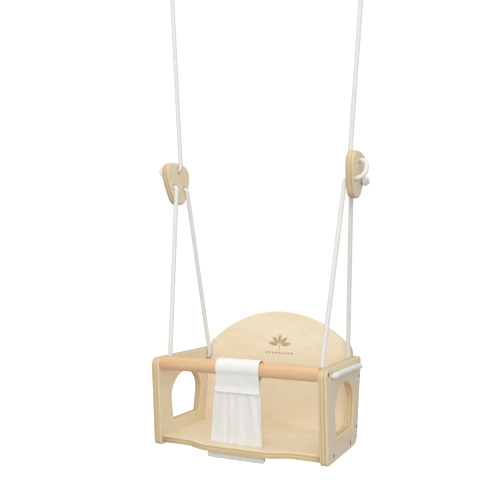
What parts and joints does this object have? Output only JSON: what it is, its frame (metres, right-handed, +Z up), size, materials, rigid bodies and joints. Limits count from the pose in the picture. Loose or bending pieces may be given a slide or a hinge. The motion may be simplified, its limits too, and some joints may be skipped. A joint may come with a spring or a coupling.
{
  "type": "toddler bucket swing",
  "caption": "Plywood toddler seat box with arched side windows, a round front bar and a canvas crotch strap, hung on two cotton ropes with wooden height adjusters and steel rings.",
  "frame": {"origin": "the hanging point: midway between the centres of the two hanging rings", "axes": "+Z up along the hanging swing, -Y the child's front, +X to the right of a viewer standing in front; left_ nodes are at -X"},
  "size_m": [0.5374, 0.2682, 1.1856],
  "materials": {
    "birch_ply": "clear satin lacquer on birch plywood",
    "beech": "clear satin lacquer on turned beech",
    "cotton_rope": "braided white rope",
    "cotton_canvas": "white cotton canvas",
    "whipping_thread": "tightly wound thread",
    "screw_steel": "dark bronze-coloured steel",
    "ring_steel": "polished zinc-plated steel"
  },
  "bodies": {
    "hangers": {"left_hanging_ring": "ring_steel", "right_hanging_ring": "ring_steel"},
    "main_ropes": {"left_rope_eye": "cotton_rope", "left_eye_sleeve": "whipping_thread", "left_main_rope": "cotton_rope", "right_rope_eye": "cotton_rope", "right_eye_sleeve": "whipping_thread", "right_main_rope": "cotton_rope"},
    "rope_nips": {"left_rope_nip": "cotton_rope", "right_rope_nip": "cotton_rope"},
    "adjusters": {"left_adjuster_plate": "birch_ply", "left_adjuster_loop": "cotton_rope", "left_end_knot": "cotton_rope", "right_adjuster_plate": "birch_ply", "right_adjuster_loop": "cotton_rope", "right_end_knot": "cotton_rope"},
    "seat": {"seat_board": "birch_ply", "back_panel": "birch_ply", "front_bar": "beech", "crotch_strap": "cotton_canvas", "strap_retainer_rod": "beech", "left_side_panel": "birch_ply", "left_panel_rope": "cotton_rope", "left_front_leg": "cotton_rope", "left_rear_leg": "cotton_rope", "right_side_panel": "birch_ply", "right_panel_rope": "cotton_rope", "right_front_leg": "cotton_rope", "right_rear_leg": "cotton_rope", "left_bar_screw": "screw_steel", "left_back_upper_screw": "screw_steel", "left_back_lower_screw": "screw_steel", "left_seat_front_screw": "screw_steel", "left_seat_rear_screw": "screw_steel", "right_bar_screw": "screw_steel", "right_back_upper_screw": "screw_steel", "right_back_lower_screw": "screw_steel", "right_seat_front_screw": "screw_steel", "right_seat_rear_screw": "screw_steel"}
  },
  "joints": [
    {"name": "swing", "type": "hinge", "parent": "hangers", "child": "main_ropes", "pos_m": [0, 0, -0.022], "axis": [1, 0, 0], "range_deg": [-40, 40]},
    {"name": "height_adjust", "type": "slide", "parent": "main_ropes", "child": "rope_nips", "axis": [0, 0, 1], "range_m": [-0.05, 0.12], "deforming": ["left_main_rope", "right_main_rope"]},
    {"name": "seat_pitch", "type": "hinge", "parent": "rope_nips", "child": "adjusters", "pos_m": [0, 0, -0.52547], "axis": [1, 0, 0], "range_deg": [-20, 20]},
    {"name": "leg_feed", "type": "slide", "parent": "adjusters", "child": "seat", "axis": [0, 0, 1], "range_m": [-0.06, 0.025], "deforming": ["left_front_leg", "left_rear_leg", "right_front_leg", "right_rear_leg"]}
  ],
  "couplings": [
    {"joint": "leg_feed", "follows": "height_adjust", "ratio": -0.5}
  ]
}
